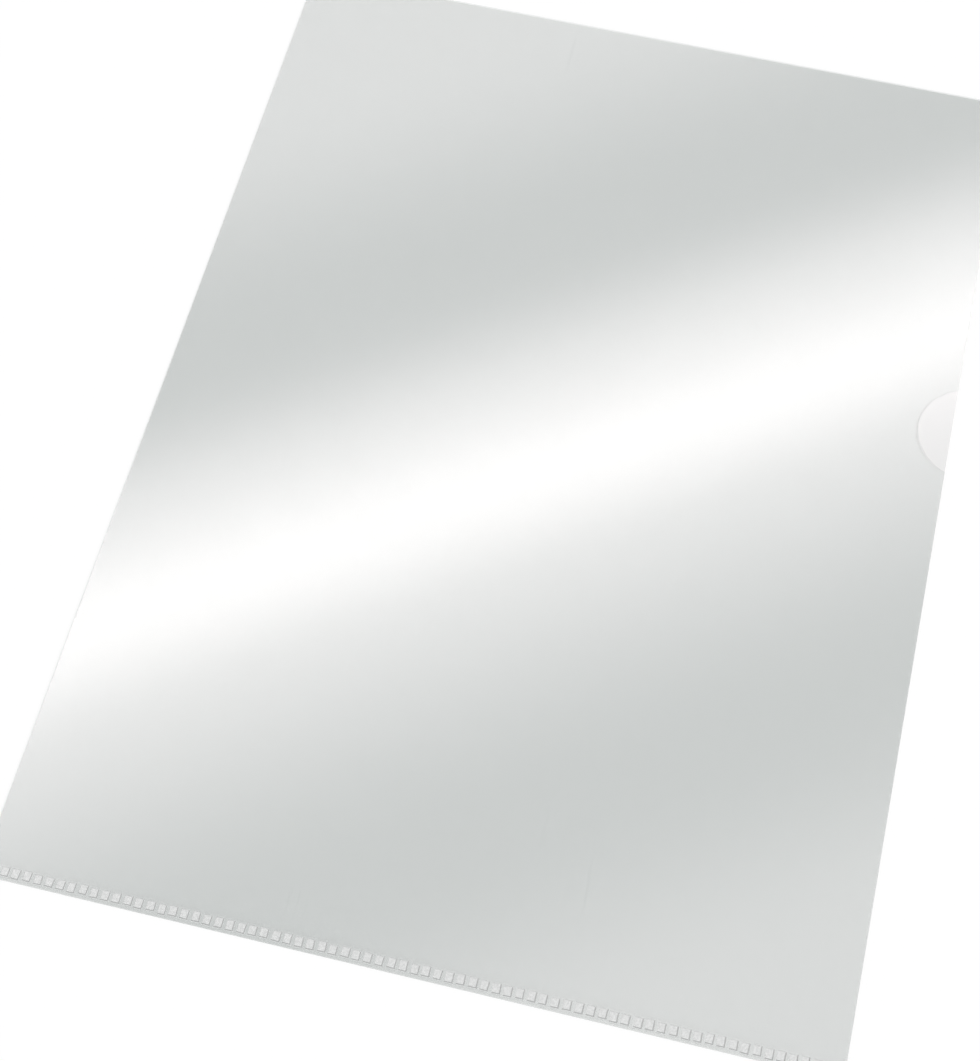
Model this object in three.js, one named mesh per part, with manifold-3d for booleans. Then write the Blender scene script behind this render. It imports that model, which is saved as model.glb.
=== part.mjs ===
// Clear plastic file folder for A4 paper, cut flush.
// One film is folded along the left edge and welded along the bottom edge by a row of small embossed
// squares. The top and the right edges are open, and the front leaf's right edge has a thumb notch.
// Millimetres, +Z up. The folder lies on its back leaf, with its open top towards +Y, and the origin is
// the middle of its underside.
import * as THREE from 'three';
import { mergeVertices } from 'three/addons/utils/BufferGeometryUtils.js';
import Module from 'manifold-3d';

const wasm = await Module();
wasm.setup();

// The leaves. The film is measured through one layer, and the pocket is the air between the two.
const LEAF_WIDTH = 220;
const LEAF_HEIGHT = 310;
const FILM = 0.2;
const POCKET_GAP = 0.3;

// The folded edge is a half-round bend, drawn in this many steps.
const BEND_STEPS = 12;

// The welded edge: the squares that fuse the two layers, above a plain margin along the cut
const SQUARE_WIDTH = 1.9;
const SQUARE_HEIGHT = 2.4;
const SQUARE_PITCH = 2.956;
const SQUARE_DEPTH = 0.12;
const SQUARES_ABOVE_CUT = 1.3;
const FIRST_SQUARE = 3.1;
const PLAIN_END = 0.5;

// The thumb notch in the front leaf: how far it cuts in, its radius, and its centre's height
const NOTCH_DEPTH = 9.7;
const NOTCH_RADIUS = 15.6;
const NOTCH_UP = 189;
const NOTCH_STEPS = 24;

// The front leaf lifts along a line from the fold's top end to the seam's right end. This is the
// clearance there between its fixed half and its free half.
const LIFT_CLEARANCE = 0.3;

const THICKNESS = 2 * FILM + POCKET_GAP;
const FRONT_LEVEL = FILM + POCKET_GAP;
const BEND_RADIUS = THICKNESS / 2;
const SEAM_HEIGHT = SQUARES_ABOVE_CUT + SQUARE_HEIGHT;

const clearFilm = new THREE.MeshStandardMaterial({
  color: 0xdde0de,
  roughness: 0.12,
  metalness: 0,
  transparent: true,
  opacity: 0.45,
});
const pressedFilm = new THREE.MeshStandardMaterial({
  color: 0xe6e8e7,
  roughness: 0.35,
  metalness: 0,
  transparent: true,
  opacity: 0.6,
});

// A piece's place is measured from the folder's bottom left corner, so this group moves that corner out.
const folder = new THREE.Group();
const leaves = new THREE.Group();
leaves.position.set(-LEAF_WIDTH / 2, -LEAF_HEIGHT / 2, 0);
folder.add(leaves);

function addPiece(name, geometry, material) {
  const piece = new THREE.Mesh(geometry, material);
  piece.name = name;
  leaves.add(piece);
  return piece;
}

// A layer of film cut to an outline
function cutFilm(outline) {
  return new THREE.ExtrudeGeometry(outline, {
    depth: FILM,
    bevelEnabled: false,
    curveSegments: NOTCH_STEPS / 2,
  });
}

function outlineOf(points) {
  return new THREE.Shape(points.map(([x, y]) => new THREE.Vector2(x, y)));
}

// A block from its left, front and lower corner and its size
function block(x, y, z, width, height, depth) {
  return new THREE.BoxGeometry(width, height, depth).translate(x + width / 2, y + height / 2, z + depth / 2);
}

function toSolid(geometry) {
  const bare = geometry.clone();
  bare.deleteAttribute('normal');
  bare.deleteAttribute('uv');
  const welded = mergeVertices(bare);
  return new wasm.Manifold(
    new wasm.Mesh({
      numProp: 3,
      vertProperties: welded.attributes.position.array,
      triVerts: Uint32Array.from(welded.index.array),
    }),
  );
}

function toGeometry(solid) {
  const mesh = solid.getMesh();
  const geometry = new THREE.BufferGeometry();
  geometry.setAttribute('position', new THREE.BufferAttribute(mesh.vertProperties, 3));
  geometry.setIndex(new THREE.BufferAttribute(mesh.triVerts, 1));
  geometry.computeVertexNormals();
  return geometry;
}

// The back leaf runs from the bend to the open edge, and from the seam to the open top.
function backLeaf() {
  return cutFilm(
    outlineOf([
      [BEND_RADIUS, SEAM_HEIGHT],
      [LEAF_WIDTH, SEAM_HEIGHT],
      [LEAF_WIDTH, LEAF_HEIGHT],
      [BEND_RADIUS, LEAF_HEIGHT],
    ]),
  );
}

// The line that the front leaf lifts along, moved sideways by a distance towards the free corner
const lineTop = new THREE.Vector2(BEND_RADIUS, LEAF_HEIGHT);
const lineFoot = new THREE.Vector2(LEAF_WIDTH, SEAM_HEIGHT);
const lineRun = lineFoot.clone().sub(lineTop);
const towardsCorner = new THREE.Vector2(-lineRun.y, lineRun.x).normalize();

function onLineAtX(x, sideways) {
  const from = lineTop.clone().addScaledVector(towardsCorner, sideways);
  return from.y + ((x - from.x) * lineRun.y) / lineRun.x;
}

function onLineAtY(y, sideways) {
  const from = lineTop.clone().addScaledVector(towardsCorner, sideways);
  return from.x + ((y - from.y) * lineRun.x) / lineRun.y;
}

// The half of the front leaf that the fold and the seam hold down
function fixedHalf() {
  const sideways = -LIFT_CLEARANCE / 2;
  return cutFilm(
    outlineOf([
      [BEND_RADIUS, SEAM_HEIGHT],
      [onLineAtY(SEAM_HEIGHT, sideways), SEAM_HEIGHT],
      [BEND_RADIUS, onLineAtX(BEND_RADIUS, sideways)],
    ]),
  );
}

// The half of the front leaf that lifts, with the thumb notch in its open edge
function freeHalf() {
  const sideways = LIFT_CLEARANCE / 2;
  const centreX = LEAF_WIDTH - NOTCH_DEPTH + NOTCH_RADIUS;
  const halfAngle = Math.acos((centreX - LEAF_WIDTH) / NOTCH_RADIUS);
  const outline = new THREE.Shape();
  outline.moveTo(onLineAtY(LEAF_HEIGHT, sideways), LEAF_HEIGHT);
  outline.lineTo(LEAF_WIDTH, onLineAtX(LEAF_WIDTH, sideways));
  outline.absarc(centreX, NOTCH_UP, NOTCH_RADIUS, Math.PI + halfAngle, Math.PI - halfAngle, true);
  outline.lineTo(LEAF_WIDTH, LEAF_HEIGHT);
  return cutFilm(outline);
}

// The fold: a half-round bend that joins the two layers, the same section all the way up
function foldedEdge() {
  const section = new THREE.Shape();
  section.absarc(BEND_RADIUS, BEND_RADIUS, POCKET_GAP / 2, -Math.PI / 2, Math.PI / 2, true);
  section.absarc(BEND_RADIUS, BEND_RADIUS, BEND_RADIUS, Math.PI / 2, -Math.PI / 2, false);
  return new THREE.ExtrudeGeometry(section, {
    depth: LEAF_HEIGHT,
    bevelEnabled: false,
    curveSegments: BEND_STEPS / 2,
  });
}

// The seam: two strips of film, joined by the row of fused squares, each pressed in from the front
function weldedEdge() {
  const width = LEAF_WIDTH - BEND_RADIUS;
  let seam = toSolid(block(BEND_RADIUS, 0, 0, width, SEAM_HEIGHT, FILM));
  seam = seam.add(toSolid(block(BEND_RADIUS, 0, FRONT_LEVEL, width, SEAM_HEIGHT, FILM)));
  const lastCentre = LEAF_WIDTH - PLAIN_END - SQUARE_WIDTH / 2;
  for (let centre = FIRST_SQUARE; centre <= lastCentre; centre += SQUARE_PITCH) {
    const left = centre - SQUARE_WIDTH / 2;
    const joined = block(left, SQUARES_ABOVE_CUT, FILM / 2, SQUARE_WIDTH, SQUARE_HEIGHT, THICKNESS - FILM);
    const pressed = block(
      left,
      SQUARES_ABOVE_CUT,
      THICKNESS - SQUARE_DEPTH,
      SQUARE_WIDTH,
      SQUARE_HEIGHT,
      FILM,
    );
    seam = seam.add(toSolid(joined)).subtract(toSolid(pressed));
  }
  return toGeometry(seam);
}

addPiece('back_leaf', backLeaf(), clearFilm);
addPiece('front_leaf', fixedHalf(), clearFilm).position.z = FRONT_LEVEL;
addPiece('front_leaf_flap', freeHalf(), clearFilm).position.z = FRONT_LEVEL;
const fold = addPiece('spine_fold', foldedEdge(), clearFilm);
fold.rotation.x = Math.PI / 2;
fold.position.y = LEAF_HEIGHT;
addPiece('weld_seam', weldedEdge(), pressedFilm);

export default folder;
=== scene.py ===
# A clear plastic file folder: the film's two leaves, its fold and its welded seam, with a studio and a
# camera. Metres, +Z up. The folder lies on its back leaf, with its fold on the left and its weld in front.
import math
from typing import NamedTuple

import bpy
import numpy as np
from mathutils import Matrix, Vector


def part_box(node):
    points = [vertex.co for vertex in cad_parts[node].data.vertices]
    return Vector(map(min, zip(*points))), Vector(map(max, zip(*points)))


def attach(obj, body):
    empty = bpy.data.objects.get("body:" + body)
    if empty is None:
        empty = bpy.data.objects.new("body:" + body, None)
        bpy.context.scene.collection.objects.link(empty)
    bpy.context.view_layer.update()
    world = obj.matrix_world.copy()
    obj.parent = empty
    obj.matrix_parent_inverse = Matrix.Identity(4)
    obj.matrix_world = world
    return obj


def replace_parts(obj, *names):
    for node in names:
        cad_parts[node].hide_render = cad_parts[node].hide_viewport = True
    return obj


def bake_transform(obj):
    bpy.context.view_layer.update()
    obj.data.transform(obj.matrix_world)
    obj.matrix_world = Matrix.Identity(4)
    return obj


bl_info = {
    "name": "Clear File Folder",
    "version": (1, 0, 0),
    "blender": (4, 5, 0),
    "location": "View3D > Sidebar > Folder",
    "description": "Makes a clear plastic file folder from film, with its fold, welded seam and studio",
    "category": "Object",
}

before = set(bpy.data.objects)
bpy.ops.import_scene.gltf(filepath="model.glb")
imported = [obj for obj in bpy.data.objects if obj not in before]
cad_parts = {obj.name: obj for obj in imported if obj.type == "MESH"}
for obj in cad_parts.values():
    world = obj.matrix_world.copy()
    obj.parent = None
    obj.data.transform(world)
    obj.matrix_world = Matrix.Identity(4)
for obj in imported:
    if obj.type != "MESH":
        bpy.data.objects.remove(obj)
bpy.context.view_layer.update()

MM = 0.001
BACK_LOW, BACK_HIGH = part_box("back_leaf")
FRONT_LOW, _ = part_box("front_leaf")
FOLD_LOW, FOLD_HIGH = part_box("spine_fold")
SEAM_LOW, SEAM_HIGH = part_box("weld_seam")
FILM = BACK_HIGH.z - BACK_LOW.z

# The kinds of face of a piece of film, in the order of its material slots. Only the fold has the last two.
FACE_FILM, FACE_INSIDE, FACE_CUT, FACE_NOTCH_SHADE, FACE_FRONT, FACE_TURNED = range(6)
FILM_MAP = "film"

# Edges sharper than this keep a hard corner.
SHARP_ANGLE = math.radians(40)

# The columns of a leaf's mesh crowd together near the open edge, to follow the notch: how many there are,
# how many notch depths they take up, how near the last one comes and how steadily they close up
CROWDED_COLUMNS = 8
CROWDED_DEPTHS = 3
CROWDED_LAST = 0.2
CROWDING = 1.6

# The notch's arc has this many points. Along it runs a band of painted shade that stands in for the shadow
# of the notch's edge. The band narrows upwards as that shadow does, from its full width at the foot to these
# shares of it at the middle and at the least.
ARC_POINTS = 49
NOTCH_SHADE_MIDDLE = 0.75
NOTCH_SHADE_LEAST = 0.1

# The two crossing waves of the ripples: how often each repeats along x and y in one ripple length, its
# height, and how many times over it takes the leaf's phase
WAVES = (
    (0.8, 0.6, 1.0, 1.0),
    (-0.5, 1.3, 0.6, 2.0),
)

# The fold's section has this many points, and a face of it is flat if it looks up or down this squarely.
BEND_POINTS = 33
FLAT_FACE = 0.9

# A face of the seam looks squarely in a direction from this on. One that looks up and to the back on the
# left this much is a wall with squeezed-out film, on the right or at the bottom of a square. It is painted
# dark as shade, since it is turned away from the key light.
SQUARELY = 0.99
RIM_LEAN = 1.08

# Where film was handled: the size of the patches and of the scratches in them, in repeats per metre, and
# the levels of the noise between which each fades in. The scratches are drawn out along the folder's
# height, and the turn picks their place in the noise.
PATCH_SCALE = 22.0
PATCH_LEVELS = (0.45, 0.75)
SCRATCH_SCALE = 900.0
SCRATCH_LEVELS = (0.7, 0.78)
SCRATCH_TURN = math.radians(24)
SCRATCH_STRETCH = (1.0, 0.02, 1.0)

# The share of its milkiness that film has everywhere and gains in a patch, and what a scratch adds
MILK_EVERYWHERE = 0.9
MILK_IN_PATCH = 0.3
SCRATCH_MILK = 0.008
SCRATCH_ROUGHNESS = 0.03

# Blotches on a square's floor, in repeats per metre, and the levels of the noise that they run between
BLOTCH_SCALE = 1500.0
BLOTCH_LEVELS = (0.3, 0.7)

# How steeply a face's mirroring rises towards a grazing angle
GRAZING_POWER = 5.0


class Surface(NamedTuple):
    """How a face of the film is worked. Bumps are metres high, and their scale is in repeats per metre."""

    milkiness: float
    roughness: float
    bump_height: float
    bump_scale: float
    blotches: float = 0.0


SMOOTH = Surface(milkiness=0.008, roughness=0.07, bump_height=0.4e-6, bump_scale=260.0)
TURNED = SMOOTH._replace(milkiness=0.004, roughness=0.12)
PUNCHED = Surface(milkiness=0.02, roughness=0.15, bump_height=2e-6, bump_scale=2500.0)
CUT = Surface(milkiness=0.12, roughness=0.35, bump_height=4e-6, bump_scale=2500.0)
SQUEEZED = Surface(milkiness=0.10, roughness=0.3, bump_height=4e-6, bump_scale=2600.0)
PRESSED = SQUEEZED._replace(bump_height=6e-6, blotches=0.06)


class FolderSizes(bpy.types.PropertyGroup):
    """Sizes of the film's edges, notch, ripples and welded squares."""

    cell: bpy.props.FloatProperty(
        name="Mesh Cell",
        description="Spacing of a leaf's mesh where the film is plain",
        default=3.0 * MM,
        unit="LENGTH",
    )
    notch_depth: bpy.props.FloatProperty(
        name="Notch Depth",
        description="How far the thumb notch cuts into the front leaf",
        default=9.35 * MM,
        unit="LENGTH",
    )
    notch_radius: bpy.props.FloatProperty(
        name="Notch Radius",
        description="Radius of the thumb notch",
        default=15.25 * MM,
        unit="LENGTH",
    )
    notch_up: bpy.props.FloatProperty(
        name="Notch Height",
        description="Height of the thumb notch's centre above the welded edge",
        default=189.0 * MM,
        unit="LENGTH",
    )
    # The band along the notch is painted shade that stands in for the shadow of the notch's edge.
    notch_shade_width: bpy.props.FloatProperty(
        name="Notch Rim",
        description="Width of the band that the punch pressed along the notch",
        default=0.75 * MM,
        unit="LENGTH",
    )
    ripple: bpy.props.FloatProperty(
        name="Ripple",
        description="Height of the film's slow ripples",
        default=0.006 * MM,
        unit="LENGTH",
    )
    ripple_length: bpy.props.FloatProperty(
        name="Ripple Length",
        description="Length of one ripple",
        default=85.0 * MM,
        unit="LENGTH",
    )
    curl: bpy.props.FloatProperty(
        name="Curl",
        description="Width of the band over which the lifted front leaf bends",
        default=110.0 * MM,
        unit="LENGTH",
    )
    crease: bpy.props.FloatProperty(
        name="Crease",
        description="How sharply the film is creased at the fold, where 1 is a half-round bend",
        default=0.4,
        subtype="FACTOR",
    )
    seam_height: bpy.props.FloatProperty(
        name="Seam Height",
        description="Height of the strip that holds the welded squares",
        default=4.1 * MM,
        unit="LENGTH",
    )
    square_width: bpy.props.FloatProperty(
        name="Square Width",
        description="Width of a welded square, with its walls",
        default=2.15 * MM,
        unit="LENGTH",
    )
    square_height: bpy.props.FloatProperty(
        name="Square Height",
        description="Height of a welded square, with its walls",
        default=2.74 * MM,
        unit="LENGTH",
    )
    square_pitch: bpy.props.FloatProperty(
        name="Square Pitch",
        description="Distance from one welded square to the next",
        default=2.956 * MM,
        unit="LENGTH",
    )
    square_depth: bpy.props.FloatProperty(
        name="Square Depth",
        description="How far a welded square is pressed in",
        default=0.12 * MM,
        unit="LENGTH",
    )
    # The walls on the right and at the bottom get painted shade, as if turned away from the key light.
    square_rim: bpy.props.FloatProperty(
        name="Square Rim",
        description="Width of a square's walls on the right and at the bottom, where film was squeezed out",
        default=0.34 * MM,
        unit="LENGTH",
    )
    square_slope: bpy.props.FloatProperty(
        name="Square Slope",
        description="Width of a square's wall on the left",
        default=0.1 * MM,
        unit="LENGTH",
    )
    square_back_slope: bpy.props.FloatProperty(
        name="Square Back Slope",
        description="Width of a square's wall at the top",
        default=0.3 * MM,
        unit="LENGTH",
    )
    squares_above_cut: bpy.props.FloatProperty(
        name="Squares Above Cut",
        description="Plain margin between the cut edge and the squares",
        default=0.87 * MM,
        unit="LENGTH",
    )
    first_square: bpy.props.FloatProperty(
        name="First Square",
        description="Distance from the folded edge to the first square's middle",
        default=3.43 * MM,
        unit="LENGTH",
    )
    plain_end: bpy.props.FloatProperty(
        name="Plain End",
        description="Least plain film between the last square and the open edge",
        default=0.5 * MM,
        unit="LENGTH",
    )
    square_turn: bpy.props.FloatProperty(
        name="Square Turn",
        description="Most that one square is turned out of line",
        default=math.radians(3.0),
        subtype="ANGLE",
    )
    square_stray: bpy.props.FloatProperty(
        name="Square Stray",
        description="Most that one square strays from its place",
        default=0.15 * MM,
        unit="LENGTH",
    )
    square_variation: bpy.props.FloatProperty(
        name="Square Variation",
        description="Most that one square's size differs, as a share",
        default=0.05,
        subtype="FACTOR",
    )
    seed: bpy.props.IntProperty(
        name="Seed",
        description="Seed of the squares' irregularity",
        default=4,
    )


class FilmFinish(bpy.types.PropertyGroup):
    """Colours and gloss of the film, each tint for light that crosses one surface. The tints of the back
    leaf, of the band along the notch and of the squares' walls also hold painted shade.
    """

    # The back leaf's tint is darker than the front leaf's. Besides the film's own tint, it holds painted
    # shade that stands in for the folder's shadow on the floor beneath it.
    back_tint_and_shade: bpy.props.FloatVectorProperty(
        name="Back Tint",
        description="What one surface of the back leaf lets through",
        default=(0.87, 0.88, 0.877),
        subtype="COLOR",
    )
    front_tint: bpy.props.FloatVectorProperty(
        name="Front Tint",
        description="What one surface of the front leaf lets through",
        default=(0.948, 0.958, 0.955),
        subtype="COLOR",
    )
    joint_tint: bpy.props.FloatVectorProperty(
        name="Joint Tint",
        description="What one surface lets through in the fold, and where a weld joins the leaves",
        default=(0.985, 0.988, 0.987),
        subtype="COLOR",
    )
    # The band along the notch is darker than the film. This is painted shade that stands in for the shadow
    # of the notch's edge.
    notch_shade_tint: bpy.props.FloatVectorProperty(
        name="Punched Tint",
        description="What one surface of the film lets through along the notch",
        default=(0.895, 0.905, 0.902),
        subtype="COLOR",
    )
    pressed_tint: bpy.props.FloatVectorProperty(
        name="Pressed Tint",
        description="What the floor of a welded square lets through",
        default=(0.847, 0.855, 0.852),
        subtype="COLOR",
    )
    # The squares' walls are darker than their floors. This is painted shade in the dents.
    slope_tint_and_shade: bpy.props.FloatVectorProperty(
        name="Slope Tint",
        description="What the gentler walls of a welded square let through",
        default=(0.775, 0.783, 0.78),
        subtype="COLOR",
    )
    # The rim walls are darker still. This is painted shade on the walls turned away from the key light.
    rim_shade_tint: bpy.props.FloatVectorProperty(
        name="Rim Tint",
        description="What the walls of a welded square with the squeezed-out film let through",
        default=(0.51, 0.52, 0.515),
        subtype="COLOR",
    )
    cut_tint: bpy.props.FloatVectorProperty(
        name="Cut Tint",
        description="What the cut edge of the film lets through",
        default=(0.82, 0.835, 0.83),
        subtype="COLOR",
    )
    milk: bpy.props.FloatVectorProperty(
        name="Milk",
        description="Colour of the faint milkiness in the film",
        default=(0.86, 0.88, 0.875),
        subtype="COLOR",
    )
    gloss_tint: bpy.props.FloatVectorProperty(
        name="Gloss Tint",
        description="Tint of what the film mirrors head on",
        default=(1.0, 0.91, 0.925),
        subtype="COLOR",
    )
    back_reflectance: bpy.props.FloatProperty(
        name="Back Reflectance",
        description="What the back leaf mirrors of light that meets it head on",
        default=0.08,
        subtype="FACTOR",
    )
    front_reflectance: bpy.props.FloatProperty(
        name="Front Reflectance",
        description="What the front leaf mirrors of light that meets it head on",
        default=0.026,
        subtype="FACTOR",
    )
    edge_reflectance: bpy.props.FloatProperty(
        name="Edge Reflectance",
        description="What folded, pressed and cut film mirrors of light that meets it head on",
        default=0.05,
        subtype="FACTOR",
    )


class StudioSetup(bpy.types.PropertyGroup):
    """Brightness of the lamps, the surroundings and the floor."""

    surroundings: bpy.props.FloatProperty(
        name="Surroundings",
        description="How bright the unlit studio looks in the film's gloss",
        default=0.5,
    )
    backdrop: bpy.props.FloatProperty(
        name="Backdrop",
        description="How much brighter the studio looks in the film's gloss near the floor",
        default=0.25,
    )
    strips: bpy.props.FloatProperty(
        name="Strip Lights",
        description="How bright the overhead strip lights look in the film's gloss",
        default=0.85,
    )
    fill: bpy.props.FloatProperty(
        name="Fill Light",
        description="Light that falls evenly from all round",
        default=0.55,
    )
    key_strength: bpy.props.FloatProperty(
        name="Key Light",
        description="Strength of the soft light from in front on the right",
        default=3.0,
    )
    floor_glow: bpy.props.FloatProperty(
        name="Floor Glow",
        description="Share of the floor's white that no shadow reaches",
        default=0.85,
        subtype="FACTOR",
    )


def sizes():
    return bpy.context.scene.folder_sizes


def finish():
    return bpy.context.scene.folder_finish


def studio():
    return bpy.context.scene.folder_studio


class Nodes:
    """Adds nodes to a tree and links them, where a value is either a socket or a plain number."""

    def __init__(self, tree):
        self.tree = tree

    def add(self, kind, **settings):
        node = self.tree.nodes.new(kind)
        for name, value in settings.items():
            setattr(node, name, value)
        return node

    def put(self, socket, value):
        if isinstance(value, bpy.types.NodeSocket):
            self.tree.links.new(value, socket)
        elif value is not None:
            socket.default_value = value

    def maths(self, operation, first, second=None, third=None):
        node = self.add("ShaderNodeMath", operation=operation)
        for socket, value in zip(node.inputs, (first, second, third)):
            self.put(socket, value)
        return node.outputs[0]

    def vector(self, x, y, z):
        node = self.add("ShaderNodeCombineXYZ")
        for socket, value in zip(node.inputs, (x, y, z)):
            self.put(socket, value)
        return node.outputs[0]

    def smooth(self, value, low, high, out_low=0.0, out_high=1.0):
        node = self.add("ShaderNodeMapRange", interpolation_type="SMOOTHSTEP")
        for socket, given in zip(node.inputs, (value, low, high, out_low, out_high)):
            self.put(socket, given)
        return node.outputs[0]

    def mix_colours(self, share, first, second):
        """A mix of two plain colours, whose sockets come after those for numbers and vectors."""
        node = self.add("ShaderNodeMix", data_type="RGBA")
        self.put(node.inputs["Factor"], share)
        for socket, colour in zip(node.inputs[6:8], (first, second)):
            socket.default_value = (*colour, 1.0)
        return node.outputs[2]

    def mix_shaders(self, share, first, second):
        node = self.add("ShaderNodeMixShader")
        for socket, value in zip(node.inputs, (share, first, second)):
            self.put(socket, value)
        return node.outputs[0]


def new_material(name):
    """An empty node material, and the helper that fills it."""
    material = bpy.data.materials.new(name)
    material.use_nodes = True
    material.node_tree.nodes.clear()
    nodes = Nodes(material.node_tree)
    output = nodes.add("ShaderNodeOutputMaterial")
    return material, nodes, output


def film_place(nodes, turn=0.0, stretch=(1.0, 1.0, 1.0)):
    """The place on the flat film, in metres, stretched and then turned for a pattern."""
    uv = nodes.add("ShaderNodeUVMap", uv_map=FILM_MAP)
    mapping = nodes.add("ShaderNodeMapping")
    mapping.inputs["Rotation"].default_value = (0.0, 0.0, turn)
    mapping.inputs["Scale"].default_value = stretch
    nodes.put(mapping.inputs["Vector"], uv.outputs["UV"])
    return mapping.outputs[0]


def noise(nodes, place, scale, detail=0.0):
    node = nodes.add("ShaderNodeTexNoise", noise_dimensions="2D")
    nodes.put(node.inputs["Vector"], place)
    node.inputs["Scale"].default_value = scale
    node.inputs["Detail"].default_value = detail
    return node.outputs["Fac"]


def handling_marks(nodes):
    """Patches where the film was handled, and the hair-thin scratches in them, each up to 1."""
    patches = nodes.smooth(noise(nodes, film_place(nodes), PATCH_SCALE), *PATCH_LEVELS)
    lines = noise(nodes, film_place(nodes, SCRATCH_TURN, SCRATCH_STRETCH), SCRATCH_SCALE, detail=1.0)
    return patches, nodes.maths("MULTIPLY", patches, nodes.smooth(lines, *SCRATCH_LEVELS))


def mirror(nodes, least):
    """How much a plastic face mirrors, from least head on to all of it at a grazing angle, and its tint."""
    weight = nodes.add("ShaderNodeLayerWeight")
    weight.inputs["Blend"].default_value = 0.5
    grazing = nodes.maths("POWER", weight.outputs["Facing"], GRAZING_POWER)
    share = nodes.maths("MULTIPLY_ADD", grazing, 1.0 - least, least)
    head_on = nodes.maths("DIVIDE", least, share)
    return share, nodes.mix_colours(head_on, (1.0, 1.0, 1.0), finish().gloss_tint)


def film_material(name, tint, reflectance, surface):
    """Clear film: what shows through it is tinted, a little is milky, and its faces are glossy."""
    material, nodes, output = new_material(name)
    patches, scratches = handling_marks(nodes)
    least_milk = MILK_EVERYWHERE * surface.milkiness
    milk_share = nodes.maths("MULTIPLY_ADD", patches, MILK_IN_PATCH * surface.milkiness, least_milk)
    milk_share = nodes.maths("MULTIPLY_ADD", scratches, SCRATCH_MILK, milk_share)

    clear = nodes.add("ShaderNodeBsdfTransparent")
    clear.inputs["Color"].default_value = (*tint, 1.0)
    if surface.blotches:
        spots = noise(nodes, film_place(nodes), BLOTCH_SCALE, detail=1.0)
        dark = [part * (1.0 - surface.blotches) for part in tint]
        light = [part * (1.0 + surface.blotches) for part in tint]
        blotched = nodes.mix_colours(nodes.smooth(spots, *BLOTCH_LEVELS), dark, light)
        nodes.put(clear.inputs["Color"], blotched)
    milky = nodes.add("ShaderNodeBsdfDiffuse")
    milky.inputs["Color"].default_value = (*finish().milk, 1.0)
    body = nodes.mix_shaders(milk_share, clear.outputs[0], milky.outputs[0])

    bump = nodes.add("ShaderNodeBump")
    bump.inputs["Strength"].default_value = 1.0
    bump.inputs["Distance"].default_value = surface.bump_height
    nodes.put(bump.inputs["Height"], noise(nodes, film_place(nodes), surface.bump_scale))
    gloss = nodes.add("ShaderNodeBsdfGlossy")
    mirrored, gloss_colour = mirror(nodes, reflectance)
    nodes.put(gloss.inputs["Color"], gloss_colour)
    roughness = nodes.maths("MULTIPLY_ADD", scratches, SCRATCH_ROUGHNESS, surface.roughness)
    nodes.put(gloss.inputs["Roughness"], roughness)
    nodes.put(gloss.inputs["Normal"], bump.outputs[0])
    nodes.put(output.inputs["Surface"], nodes.mix_shaders(mirrored, body, gloss.outputs[0]))
    return material


def inside_material():
    """Where two pieces of the one film meet there is no surface, so nothing shows."""
    material, nodes, output = new_material("film_inside")
    clear = nodes.add("ShaderNodeBsdfTransparent")
    clear.inputs["Color"].default_value = (1.0, 1.0, 1.0, 1.0)
    nodes.put(output.inputs["Surface"], clear.outputs[0])
    return material


def film_materials():
    """The finishes of the film, made once and kept by name."""
    if "film_inside" not in bpy.data.materials:
        look = finish()
        edge = look.edge_reflectance
        inside_material()
        # The back leaf's tint holds painted shade for the folder's shadow on the floor as well as the film's
        # own tint.
        film_material("film_back_and_shade", look.back_tint_and_shade, look.back_reflectance, SMOOTH)
        film_material("film_front", look.front_tint, look.front_reflectance, SMOOTH)
        film_material("film_joint", look.joint_tint, edge, TURNED)
        # The band along the notch is tinted with painted shade for the shadow of the notch's edge.
        film_material("film_notch_shade", look.notch_shade_tint, edge, PUNCHED)
        film_material("film_cut", look.cut_tint, edge, CUT)
        film_material("film_pressed", look.pressed_tint, edge, PRESSED)
        # The squares' walls are tinted darker with painted shade in the dents.
        film_material("film_slope_and_shade", look.slope_tint_and_shade, edge, SQUEEZED)
        # The rim walls are tinted much darker with painted shade for the side turned away from the key
        # light.
        film_material("film_shaded_rim", look.rim_shade_tint, edge, SQUEEZED)
    return bpy.data.materials


def lay_film_map(mesh):
    """A map of the flat film in metres, so a pattern stays on the film when it bends."""
    places = np.empty(len(mesh.vertices) * 3)
    mesh.vertices.foreach_get("co", places)
    corners = np.empty(len(mesh.loops), int)
    mesh.loops.foreach_get("vertex_index", corners)
    layer = mesh.uv_layers.new(name=FILM_MAP)
    layer.data.foreach_set("uv", places.reshape(-1, 3)[corners, :2].ravel())


def add_piece(name, mesh, body=None):
    piece = bpy.data.objects.new(name, mesh)
    bpy.context.scene.collection.objects.link(piece)
    if body:
        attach(piece, body)
    return piece


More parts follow.
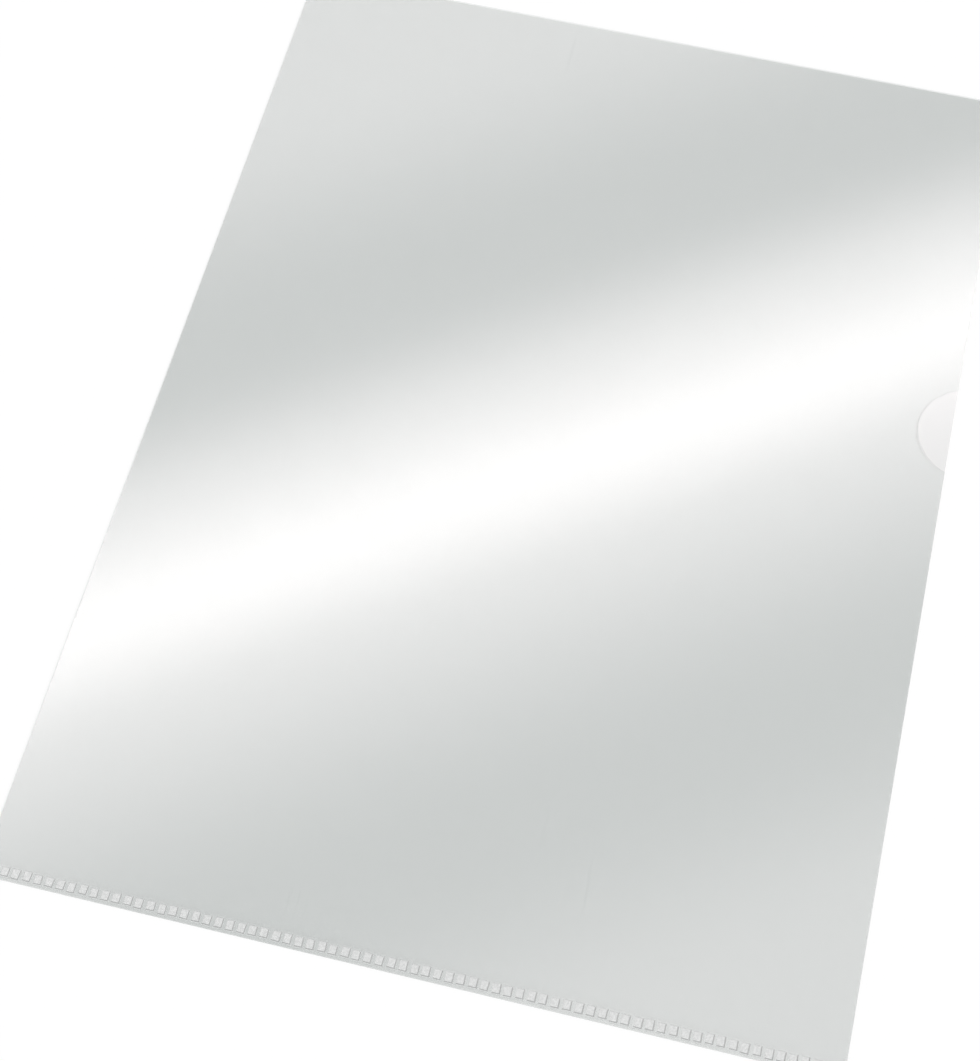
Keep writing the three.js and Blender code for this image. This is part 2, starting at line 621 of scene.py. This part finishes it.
def closed_sheet(name, upper, lower, side_faces, film="film_back_and_shade"):
    """A closed mesh from two grids of points, one above the other, with a face kind for each of its sides.

    The grids are indexed by row, along +Y, and column, along +X. side_faces is for the sides at the first
    and last column and the first and last row.
    """
    rows, columns = upper.shape[:2]
    points = np.concatenate([upper.reshape(-1, 3), lower.reshape(-1, 3)])
    index = np.arange(rows * columns).reshape(rows, columns)
    under = index + rows * columns
    faces, kinds = [], []

    def add_faces(a, b, c, d, kind):
        quads = np.stack([a.ravel(), b.ravel(), c.ravel(), d.ravel()], axis=1)
        faces.extend(quads.tolist())
        kinds.extend([kind] * len(quads))

    add_faces(index[:-1, :-1], index[:-1, 1:], index[1:, 1:], index[1:, :-1], FACE_FILM)
    add_faces(under[:-1, :-1], under[1:, :-1], under[1:, 1:], under[:-1, 1:], FACE_FILM)
    left, right, foot, top = side_faces
    add_faces(index[:-1, 0], index[1:, 0], under[1:, 0], under[:-1, 0], left)
    add_faces(index[1:, -1], index[:-1, -1], under[:-1, -1], under[1:, -1], right)
    add_faces(index[0, 1:], index[0, :-1], under[0, :-1], under[0, 1:], foot)
    add_faces(index[-1, :-1], index[-1, 1:], under[-1, 1:], under[-1, :-1], top)

    mesh = bpy.data.meshes.new(name)
    mesh.from_pydata(points.tolist(), [], faces)
    mesh.polygons.foreach_set("material_index", kinds)
    mesh.polygons.foreach_set("use_smooth", [True] * len(kinds))
    mesh.update()
    mesh.set_sharp_from_angle(angle=SHARP_ANGLE)
    lay_film_map(mesh)
    for material in (film, "film_inside", "film_cut", "film_notch_shade"):
        mesh.materials.append(film_materials()[material])
    return mesh


def even_steps(low, high, step):
    return np.linspace(low, high, max(2, round((high - low) / step) + 1))


def ripples(x, y, phase):
    """Slow ripples of the film, never below its level, which die out at the fold and at the seam."""
    size = sizes()
    turn = 2 * math.pi / size.ripple_length
    wave = sum(
        height * np.sin(turn * (along_x * x + along_y * y) + times * phase)
        for along_x, along_y, height, times in WAVES
    )
    crest = sum(height for _, _, height, _ in WAVES)
    reach = size.ripple_length / 2
    fade = 1.0 - np.exp(-(((x - FOLD_HIGH.x) / reach) ** 2))
    fade = fade * (1.0 - np.exp(-(((y - SEAM_HIGH.y) / reach) ** 2)))
    return size.ripple * fade * (crest + wave)


def thumb_notch():
    """The middle of the thumb notch's arc, and half the angle that the arc takes up."""
    size = sizes()
    centre_x = BACK_HIGH.x - size.notch_depth + size.notch_radius
    centre_y = SEAM_LOW.y + size.notch_up
    return centre_x, centre_y, math.acos((centre_x - BACK_HIGH.x) / size.notch_radius)


def leaf_rows(notched):
    """The heights of a leaf's rows of points, which step round the notch's arc where there is one."""
    size = sizes()
    foot, top = SEAM_LOW.y + size.seam_height, BACK_HIGH.y
    if not notched:
        return even_steps(foot, top, size.cell)
    _, centre_y, half_angle = thumb_notch()
    arc = centre_y + size.notch_radius * np.sin(np.linspace(-half_angle, half_angle, ARC_POINTS))
    below = even_steps(foot, arc[0], size.cell)
    above = even_steps(arc[-1], top, size.cell)
    return np.concatenate([below, arc[1:-1], above])


def leaf_columns(y, notched):
    """Where each row of a leaf has its points, from the fold to the open edge, and which rows are notched.

    Near the open edge the columns crowd together and follow the notch. Its band of painted shade stands in
    for the shadow of the notch's edge. It is widest at its foot and lies between the last two of them.
    """
    size = sizes()
    right = BACK_HIGH.x
    centre_x, centre_y, half_angle = thumb_notch()
    edge = np.full_like(y, right)
    in_notch = np.abs(y - centre_y) < size.notch_radius * math.sin(half_angle)
    if notched:
        reach = np.sqrt(np.clip(size.notch_radius**2 - (y - centre_y) ** 2, 0.0, None))
        edge = np.where(in_notch, np.minimum(right, centre_x - reach), right)
    narrowing = NOTCH_SHADE_MIDDLE - NOTCH_SHADE_MIDDLE * (y - centre_y) / size.notch_radius
    rim = size.notch_shade_width * np.clip(narrowing, NOTCH_SHADE_LEAST, 1.0)
    crowd_from = right - CROWDED_DEPTHS * size.notch_depth
    nearness = np.linspace(1.0, CROWDED_LAST, CROWDED_COLUMNS) ** CROWDING
    crowded = edge - (edge - crowd_from) * nearness
    plain = even_steps(FOLD_HIGH.x, crowd_from, size.cell)[:-1]
    plain = np.repeat(plain[None, :], len(y), axis=0)
    return np.concatenate([plain, crowded, edge - rim, edge], axis=1), in_notch


def paint_notch_shade(mesh, beside_edge):
    """Gives painted shade, for the shadow of the notch's edge, to the faces whose corners all lie beside
    that edge.
    """
    for face in mesh.polygons:
        corners = [corner % beside_edge.size for corner in face.vertices]
        if face.material_index in (FACE_FILM, FACE_CUT) and beside_edge[corners].all():
            face.material_index = FACE_NOTCH_SHADE


def leaf_mesh(name, level, film, phase, notched=False):
    """One leaf of film between the fold and the open edge, and between the seam and the open top."""
    y = leaf_rows(notched)[:, None]
    x, in_notch = leaf_columns(y, notched)
    y = np.repeat(y, x.shape[1], axis=1)
    z = level + FILM + ripples(x, y, phase)
    upper = np.stack([x, y, z], axis=2)
    lower = upper - np.array([0.0, 0.0, FILM])
    mesh = closed_sheet(name, upper, lower, (FACE_INSIDE, FACE_CUT, FACE_INSIDE, FACE_CUT), film)
    if notched:
        # The band beside the notch's edge gets painted shade that stands in for the edge's shadow.
        beside_edge = np.zeros(x.shape, bool)
        beside_edge[:, -2:] = in_notch
        paint_notch_shade(mesh, beside_edge.ravel())
    return mesh


class FOLDER_OT_back_leaf(bpy.types.Operator):
    """Make the back leaf, the layer of film that lies on the table"""

    bl_idname = "folder.back_leaf"
    bl_label = "Back Leaf"

    def execute(self, context):
        mesh = leaf_mesh("back_film", BACK_LOW.z, "film_back_and_shade", phase=0.4)
        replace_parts(add_piece("back_film", mesh, "folder"), "back_leaf")
        return {"FINISHED"}


class FOLDER_OT_front_leaf(bpy.types.Operator):
    """Make the front leaf with its thumb notch"""

    bl_idname = "folder.front_leaf"
    bl_label = "Front Leaf"

    def execute(self, context):
        mesh = leaf_mesh("front_film", FRONT_LOW.z, "film_front", phase=2.1, notched=True)
        piece = add_piece("front_film", mesh)
        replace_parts(piece, "front_leaf", "front_leaf_flap")
        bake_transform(piece)
        return {"FINISHED"}


class FOLDER_OT_folded_edge(bpy.types.Operator):
    """Make the fold, a creased bend that joins the two leaves"""

    bl_idname = "folder.folded_edge"
    bl_label = "Folded Edge"

    def execute(self, context):
        radius = FOLD_HIGH.x - FOLD_LOW.x
        middle = FOLD_LOW.z + radius
        bend = np.linspace(-math.pi / 2, math.pi / 2, BEND_POINTS)[None, :]
        y = even_steps(FOLD_LOW.y, FOLD_HIGH.y, sizes().cell)[:, None]

        def creased(r):
            """A bend that stays flat as long as it can, and turns over at the very edge."""
            x = FOLD_HIGH.x - r * np.cos(bend) ** sizes().crease
            z = middle + r * np.sign(bend) * np.abs(np.sin(bend)) ** sizes().crease
            return np.stack(np.broadcast_arrays(x, y, z), axis=2)

        sides = (FACE_INSIDE, FACE_INSIDE, FACE_CUT, FACE_CUT)
        mesh = closed_sheet("folded_film", creased(radius), creased(radius - FILM), sides)
        mesh.materials.append(film_materials()["film_front"])
        mesh.materials.append(film_materials()["film_joint"])
        for face in mesh.polygons:
            if face.material_index == FACE_FILM:
                if abs(face.normal.z) <= FLAT_FACE:
                    face.material_index = FACE_TURNED
                elif face.center.z > middle:
                    face.material_index = FACE_FRONT
        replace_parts(add_piece("folded_film", mesh, "folder"), "spine_fold")
        return {"FINISHED"}


# The inputs of the seam's node tree and their kinds of socket
SEAM_INPUTS = (
    ("Length", "NodeSocketFloat"),
    ("Height", "NodeSocketFloat"),
    ("Film", "NodeSocketFloat"),
    ("Gap", "NodeSocketFloat"),
    ("Square Width", "NodeSocketFloat"),
    ("Square Height", "NodeSocketFloat"),
    ("Pitch", "NodeSocketFloat"),
    ("Count", "NodeSocketInt"),
    ("First Middle", "NodeSocketFloat"),
    ("Above Cut", "NodeSocketFloat"),
    ("Depth", "NodeSocketFloat"),
    ("Rim", "NodeSocketFloat"),
    ("Slope", "NodeSocketFloat"),
    ("Back Slope", "NodeSocketFloat"),
    ("Turn", "NodeSocketFloat"),
    ("Stray", "NodeSocketFloat"),
    ("Variation", "NodeSocketFloat"),
    ("Seed", "NodeSocketInt"),
    ("Corner", "NodeSocketVector"),
)

# The finishes of a strip's sides, and the directions that these face
STRIP_SIDES = (
    ("film_cut", (0.0, -1.0, 0.0)),
    ("film_cut", (1.0, 0.0, 0.0)),
    ("film_inside", (0.0, 1.0, 0.0)),
    ("film_inside", (-1.0, 0.0, 0.0)),
)


class SeamNodes(Nodes):
    """Makes the nodes of the seam's tree, from the sizes that the tree is given."""

    def __init__(self, tree):
        super().__init__(tree)
        self.given = self.add("NodeGroupInput").outputs
        self.front_level = self.maths("ADD", self.given["Film"], self.given["Gap"])
        self.thickness = self.maths("ADD", self.front_level, self.given["Film"])

    def moved(self, geometry, offset):
        move = self.add("GeometryNodeTransform")
        self.put(move.inputs["Geometry"], geometry)
        self.put(move.inputs["Translation"], offset)
        return move.outputs["Geometry"]

    def strayed(self, geometry, offset):
        """The same geometry with each of its points moved by an offset of its own."""
        move = self.add("GeometryNodeSetPosition")
        self.put(move.inputs["Geometry"], geometry)
        self.put(move.inputs["Offset"], offset)
        return move.outputs["Geometry"]

    def block(self, size, middle):
        cube = self.add("GeometryNodeMeshCube")
        self.put(cube.inputs["Size"], self.vector(*size))
        return self.moved(cube.outputs["Mesh"], self.vector(*middle))

    def painted(self, geometry, material, selection=None):
        paint = self.add("GeometryNodeSetMaterial")
        paint.inputs["Material"].default_value = film_materials()[material]
        self.put(paint.inputs["Geometry"], geometry)
        self.put(paint.inputs["Selection"], selection)
        return paint.outputs["Geometry"]

    def facing(self, direction, least=SQUARELY):
        """True on faces that look along a direction, at least this closely."""
        normal = self.add("GeometryNodeInputNormal")
        dot = self.add("ShaderNodeVectorMath", operation="DOT_PRODUCT")
        self.put(dot.inputs[0], normal.outputs["Normal"])
        self.put(dot.inputs[1], direction)
        compare = self.add("FunctionNodeCompare", data_type="FLOAT", operation="GREATER_THAN")
        self.put(compare.inputs[0], dot.outputs["Value"])
        self.put(compare.inputs[1], least)
        return compare.outputs[0]

    def spread(self, amount, offset, middle=0.0):
        """A random number for each square, at most this amount from the middle of its range."""
        draw = self.add("FunctionNodeRandomValue", data_type="FLOAT")
        self.put(draw.inputs[2], self.maths("SUBTRACT", middle, amount))
        self.put(draw.inputs[3], self.maths("ADD", middle, amount))
        self.put(draw.inputs["Seed"], self.maths("ADD", self.given["Seed"], offset))
        return draw.outputs[1]

    def realized(self, instances):
        realize = self.add("GeometryNodeRealizeInstances")
        self.put(realize.inputs["Geometry"], instances)
        return realize.outputs["Geometry"]

    def combined(self, operation, others, first=None):
        """One closed solid from several, or from the first with the others cut away."""
        boolean = self.add("GeometryNodeMeshBoolean", operation=operation, solver="EXACT")
        if first is not None:
            self.put(boolean.inputs["Mesh 1"], first)
        for other in others:
            self.put(boolean.inputs["Mesh 2"], other)
        return boolean.outputs["Mesh"]


def film_strips(nodes):
    """A strip of each layer of film, cut at the front and on the right, and joined to the film elsewhere."""
    given = nodes.given
    half_length = nodes.maths("MULTIPLY", given["Length"], 0.5)
    half_height = nodes.maths("MULTIPLY", given["Height"], 0.5)
    back_middle = nodes.maths("MULTIPLY", given["Film"], 0.5)
    front_middle = nodes.maths("ADD", nodes.front_level, back_middle)
    strips = []
    for film, middle in (("film_back_and_shade", back_middle), ("film_front", front_middle)):
        size = (given["Length"], given["Height"], given["Film"])
        strip = nodes.painted(nodes.block(size, (half_length, half_height, middle)), film)
        for material, direction in STRIP_SIDES:
            strip = nodes.painted(strip, material, nodes.facing(direction))
        strips.append(strip)
    return strips


def square_row(nodes):
    """A point for each square, strayed a little from its place, with the square's turn and its stretch."""
    given = nodes.given
    line = nodes.add("GeometryNodeMeshLine", mode="OFFSET")
    nodes.put(line.inputs["Count"], given["Count"])
    row_height = nodes.maths("MULTIPLY_ADD", given["Square Height"], 0.5, given["Above Cut"])
    nodes.put(line.inputs["Start Location"], nodes.vector(given["First Middle"], row_height, 0.0))
    nodes.put(line.inputs["Offset"], nodes.vector(given["Pitch"], 0.0, 0.0))
    stray = nodes.vector(nodes.spread(given["Stray"], 1), nodes.spread(given["Stray"], 2), 0.0)
    turn = nodes.vector(0.0, 0.0, nodes.spread(given["Turn"], 3))
    wider = nodes.spread(given["Variation"], 4, middle=1.0)
    higher = nodes.spread(given["Variation"], 5, middle=1.0)
    return nodes.strayed(line.outputs["Mesh"], stray), turn, nodes.vector(wider, higher, 1.0)


def at_each_square(nodes, row, geometry):
    points, turn, stretch = row
    instance = nodes.add("GeometryNodeInstanceOnPoints")
    nodes.put(instance.inputs["Points"], points)
    nodes.put(instance.inputs["Instance"], geometry)
    nodes.put(instance.inputs["Rotation"], turn)
    nodes.put(instance.inputs["Scale"], stretch)
    return nodes.realized(instance.outputs["Instances"])


def fused_block(nodes):
    """A square's fused film, from the middle of one layer to the middle of the other."""
    size = (nodes.given["Square Width"], nodes.given["Square Height"], nodes.front_level)
    half_thickness = nodes.maths("MULTIPLY", nodes.thickness, 0.5)
    return nodes.painted(nodes.block(size, (0.0, 0.0, half_thickness)), "film_joint")


def square_punch(nodes):
    """The punch that presses a square in, which is as wide as the square where it meets the film's face.

    Below that its walls lean in, those of the rim more than the others.
    """
    given = nodes.given
    depth = nodes.maths("MULTIPLY", given["Depth"], 2.0)
    punch = nodes.block((given["Square Width"], given["Square Height"], depth), (0.0, 0.0, 0.0))
    corner = nodes.add("ShaderNodeSeparateXYZ")
    nodes.put(corner.inputs[0], nodes.add("GeometryNodeInputPosition").outputs[0])
    right = nodes.maths("GREATER_THAN", corner.outputs["X"], 0.0)
    back = nodes.maths("GREATER_THAN", corner.outputs["Y"], 0.0)
    outward = nodes.maths("SIGN", corner.outputs["Z"])
    across = nodes.maths("ADD", given["Rim"], given["Slope"])
    along = nodes.maths("ADD", given["Rim"], given["Back Slope"])
    lean_x = nodes.maths("SUBTRACT", nodes.maths("MULTIPLY", right, across), given["Slope"])
    lean_y = nodes.maths("SUBTRACT", nodes.maths("MULTIPLY", back, along), given["Rim"])
    lean_x = nodes.maths("MULTIPLY", lean_x, outward)
    lean_y = nodes.maths("MULTIPLY", lean_y, outward)
    punch = nodes.strayed(punch, nodes.vector(lean_x, lean_y, 0.0))
    punch = nodes.moved(punch, nodes.vector(0.0, 0.0, nodes.thickness))
    # Its walls are painted darker than the pressed floor, as painted shade in the square's dent.
    punch = nodes.painted(punch, "film_slope_and_shade")
    return nodes.painted(punch, "film_pressed", nodes.facing((0.0, 0.0, -1.0)))


def seam_tree():
    """The welded strip: two strips of film, a row of fused squares between them, and a dent in each."""
    tree = bpy.data.node_groups.new("Welded Seam", "GeometryNodeTree")
    tree.is_modifier = True
    for name, kind in SEAM_INPUTS:
        tree.interface.new_socket(name, in_out="INPUT", socket_type=kind)
    tree.interface.new_socket("Geometry", in_out="OUTPUT", socket_type="NodeSocketGeometry")
    nodes = SeamNodes(tree)
    row = square_row(nodes)
    fused = at_each_square(nodes, row, fused_block(nodes))
    punches = at_each_square(nodes, row, square_punch(nodes))
    seam = nodes.combined("UNION", [*film_strips(nodes), fused])
    seam = nodes.combined("DIFFERENCE", [punches], first=seam)
    seam = nodes.realized(nodes.moved(seam, nodes.given["Corner"]))
    # Of all the faces that look up, the rims lean the furthest towards the back on the left. They are
    # painted much darker, as painted shade on the walls turned away from the key light.
    shaded_rims = nodes.painted(seam, "film_shaded_rim", nodes.facing((-1.0, 1.0, 1.0), least=RIM_LEAN))
    nodes.put(nodes.add("NodeGroupOutput").inputs["Geometry"], shaded_rims)
    return tree


def mesh_from_tree(name, tree, values):
    """The plain mesh that a node tree makes from the values of its named inputs."""
    maker = bpy.data.objects.new(name, bpy.data.meshes.new(name))
    bpy.context.scene.collection.objects.link(maker)
    modifier = maker.modifiers.new(tree.name, "NODES")
    modifier.node_group = tree
    for item in tree.interface.items_tree:
        if item.in_out == "INPUT":
            modifier[item.identifier] = values[item.name]
    maker.update_tag()
    bpy.context.view_layer.update()
    evaluated = bpy.context.evaluated_depsgraph_get()
    made = maker.evaluated_get(evaluated)
    mesh = bpy.data.meshes.new_from_object(made, preserve_all_data_layers=True, depsgraph=evaluated)
    maker.modifiers.remove(modifier)
    bpy.data.objects.remove(maker)
    if not mesh.polygons:
        raise RuntimeError(f"the node tree {tree.name} made no faces")
    return mesh


class FOLDER_OT_welded_edge(bpy.types.Operator):
    """Make the welded seam with its row of small pressed squares"""

    bl_idname = "folder.welded_edge"
    bl_label = "Welded Edge"

    def execute(self, context):
        size = sizes()
        length = BACK_HIGH.x - FOLD_HIGH.x
        first = size.first_square - (FOLD_HIGH.x - FOLD_LOW.x)
        room = length - first - size.square_width / 2 - size.plain_end
        values = {
            "Length": length,
            "Height": size.seam_height,
            "Film": FILM,
            "Gap": FRONT_LOW.z - BACK_HIGH.z,
            "Square Width": size.square_width,
            "Square Height": size.square_height,
            "Pitch": size.square_pitch,
            "Count": 1 + math.floor(room / size.square_pitch),
            "First Middle": first,
            "Above Cut": size.squares_above_cut,
            "Depth": size.square_depth,
            "Rim": size.square_rim,
            "Slope": size.square_slope,
            "Back Slope": size.square_back_slope,
            "Turn": size.square_turn,
            "Stray": size.square_stray,
            "Variation": size.square_variation,
            "Seed": size.seed,
            "Corner": (FOLD_HIGH.x, SEAM_LOW.y, SEAM_LOW.z),
        }
        mesh = mesh_from_tree("seam_maker", seam_tree(), values)
        mesh.name = "welded_film"
        lay_film_map(mesh)
        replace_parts(add_piece("welded_film", mesh, "folder"), "weld_seam")
        return {"FINISHED"}


# The strip lights overhead, as the gloss of film that lies flat shows them. A place is the tilt from
# straight up, in degrees, towards the heading, which is the back on the left: where the strip begins, is
# full, begins to end and has ended. The last number is how bright it looks.
STRIP_HEADING = math.radians(125.5)
STRIPS = (
    (26.0, 28.0, 28.5, 30.4, 1.4),
    (20.3, 28.7, 29.9, 33.4, 2.42),
    (34.6, 39.3, 44.0, 52.0, 1.1),
    (4.0, 8.0, 14.3, 19.4, 0.81),
    (58.0, 64.0, 66.0, 72.0, 0.9),
    (-36.0, -28.0, -24.0, -16.0, 1.2),
    (-82.0, -77.0, -73.0, -66.0, 0.45),
)

# How steeply the gloss looks up, from 0 to 1, where the backdrop is full and where it has faded out
BACKDROP_LEVELS = (0.05, 0.55)

FLOOR_HALF = 3.0
FLOOR_DROP = 0.3 * MM
FLOOR_PAINT = 0.96

# The key light shines from this direction, and looks this wide.
KEY_FROM = Vector((0.5, -0.68, 0.55))
KEY_WIDTH = math.radians(20)

# The camera's place, where it looks, the way that is up in its picture, and its lens and sensor in mm
CAMERA_PLACE = Vector((58.0, -315.5, 529.1)) * MM
CAMERA_VIEW = Vector((-0.1096, 0.4747, -0.8733))
CAMERA_TOP = Vector((-0.209, 0.848, 0.487))
CAMERA_LENS = 75.12
CAMERA_SENSOR = 36.0


def studio_world():
    """White to the eye, even light on the object, and strip lights in its gloss."""
    world = bpy.data.worlds.new("studio")
    world.use_nodes = True
    world.node_tree.nodes.clear()
    nodes = Nodes(world.node_tree)
    setup = studio()
    ray = nodes.add("ShaderNodeLightPath").outputs
    direction = nodes.add("ShaderNodeTexCoord").outputs["Generated"]
    dot = nodes.add("ShaderNodeVectorMath", operation="DOT_PRODUCT")
    nodes.put(dot.inputs[0], direction)
    nodes.put(dot.inputs[1], (math.cos(STRIP_HEADING), math.sin(STRIP_HEADING), 0.0))
    split = nodes.add("ShaderNodeSeparateXYZ")
    nodes.put(split.inputs[0], direction)
    tilt = nodes.maths("ARCTAN2", dot.outputs["Value"], split.outputs["Z"])
    tilt = nodes.maths("DEGREES", tilt)
    low_down = nodes.smooth(split.outputs["Z"], *BACKDROP_LEVELS, 1.0, 0.0)
    mirrored = nodes.maths("MULTIPLY_ADD", low_down, setup.backdrop, setup.surroundings)
    for begins, full, fades, ends, strength in STRIPS:
        rise = nodes.smooth(tilt, begins, full)
        fall = nodes.smooth(tilt, fades, ends, 1.0, 0.0)
        shape = nodes.maths("MULTIPLY", rise, fall)
        mirrored = nodes.maths("MULTIPLY_ADD", shape, strength * setup.strips, mirrored)

    seen = nodes.maths("MAXIMUM", ray["Is Camera Ray"], ray["Is Transmission Ray"])
    plain = nodes.maths("MULTIPLY_ADD", seen, 1.0 - setup.fill, setup.fill)
    extra = nodes.maths("SUBTRACT", mirrored, plain)
    strength = nodes.maths("MULTIPLY_ADD", ray["Is Glossy Ray"], extra, plain)
    background = nodes.add("ShaderNodeBackground")
    background.inputs["Color"].default_value = (1.0, 1.0, 1.0, 1.0)
    nodes.put(background.inputs["Strength"], strength)
    output = nodes.add("ShaderNodeOutputWorld")
    nodes.put(output.inputs["Surface"], background.outputs[0])
    bpy.context.scene.world = world


def white_floor():
    """A white floor, which looks white to the eye and in the gloss, and still takes a soft shadow."""
    signs = ((-1, -1), (1, -1), (1, 1), (-1, 1))
    corners = [(x * FLOOR_HALF, y * FLOOR_HALF, -FLOOR_DROP) for x, y in signs]
    mesh = bpy.data.meshes.new("floor")
    mesh.from_pydata(corners, [], [(0, 1, 2, 3)])
    floor = bpy.data.objects.new("floor", mesh)
    bpy.context.scene.collection.objects.link(floor)

    material, nodes, output = new_material("white_floor")
    ray = nodes.add("ShaderNodeLightPath").outputs
    looked_at = nodes.maths("MAXIMUM", ray["Is Camera Ray"], ray["Is Glossy Ray"])
    looked_at = nodes.maths("MAXIMUM", looked_at, ray["Is Transmission Ray"])
    painted = nodes.add("ShaderNodeBsdfDiffuse")
    painted.inputs["Color"].default_value = (FLOOR_PAINT, FLOOR_PAINT, FLOOR_PAINT, 1.0)
    glow = nodes.add("ShaderNodeEmission")
    glow.inputs["Strength"].default_value = 1.0
    share = nodes.maths("MULTIPLY", looked_at, studio().floor_glow)
    nodes.put(output.inputs["Surface"], nodes.mix_shaders(share, painted.outputs[0], glow.outputs[0]))
    mesh.materials.append(material)


def key_light():
    """A soft light from in front on the right, which models the walls of the welded squares."""
    data = bpy.data.lights.new("key_light", "SUN")
    data.angle = KEY_WIDTH
    data.energy = studio().key_strength
    lamp = bpy.data.objects.new("key_light", data)
    lamp.location = KEY_FROM
    lamp.rotation_mode = "QUATERNION"
    lamp.rotation_quaternion = KEY_FROM.to_track_quat("Z", "Y")
    lamp.visible_glossy = False
    bpy.context.scene.collection.objects.link(lamp)


def photo_camera():
    """The camera, at the place and with the lens that put the folder's straight edges where they belong."""
    forward = CAMERA_VIEW.normalized()
    right = forward.cross(CAMERA_TOP).normalized()
    up = right.cross(forward)
    data = bpy.data.cameras.new("camera")
    data.lens = CAMERA_LENS
    data.sensor_width = CAMERA_SENSOR
    data.clip_start = 0.01
    data.clip_end = 20.0
    camera = bpy.data.objects.new("camera", data)
    turn = Matrix((right, up, -forward)).transposed().to_4x4()
    camera.matrix_world = Matrix.Translation(CAMERA_PLACE) @ turn
    bpy.context.scene.collection.objects.link(camera)
    bpy.context.scene.camera = camera


class FOLDER_OT_stage(bpy.types.Operator):
    """Make the white floor, the lamps, the surroundings and the camera"""

    bl_idname = "folder.stage"
    bl_label = "Stage"

    def execute(self, context):
        studio_world()
        white_floor()
        key_light()
        photo_camera()
        context.scene.view_settings.view_transform = "Standard"
        return {"FINISHED"}


class FOLDER_PT_parts(bpy.types.Panel):
    """Lists the folder's pieces and their sizes."""

    bl_label = "Clear File Folder"
    bl_space_type = "VIEW_3D"
    bl_region_type = "UI"
    bl_category = "Folder"

    def draw(self, context):
        for operator in PIECES:
            self.layout.operator(operator.bl_idname)
        for group in (sizes(), finish(), studio()):
            box = self.layout.box()
            for name in group.bl_rna.properties.keys():
                if name not in ("rna_type", "name"):
                    box.prop(group, name)


PIECES = (
    FOLDER_OT_stage,
    FOLDER_OT_back_leaf,
    FOLDER_OT_front_leaf,
    FOLDER_OT_folded_edge,
    FOLDER_OT_welded_edge,
)
CLASSES = (FolderSizes, FilmFinish, StudioSetup, *PIECES, FOLDER_PT_parts)


def register():
    for cls in CLASSES:
        bpy.utils.register_class(cls)
    bpy.types.Scene.folder_sizes = bpy.props.PointerProperty(type=FolderSizes)
    bpy.types.Scene.folder_finish = bpy.props.PointerProperty(type=FilmFinish)
    bpy.types.Scene.folder_studio = bpy.props.PointerProperty(type=StudioSetup)


def unregister():
    del bpy.types.Scene.folder_studio
    del bpy.types.Scene.folder_finish
    del bpy.types.Scene.folder_sizes
    for cls in reversed(CLASSES):
        bpy.utils.unregister_class(cls)


def main():
    register()
    bpy.ops.folder.stage()
    bpy.ops.folder.back_leaf()
    bpy.ops.folder.front_leaf()
    bpy.ops.folder.folded_edge()
    bpy.ops.folder.welded_edge()


if __name__ == "__main__":
    main()
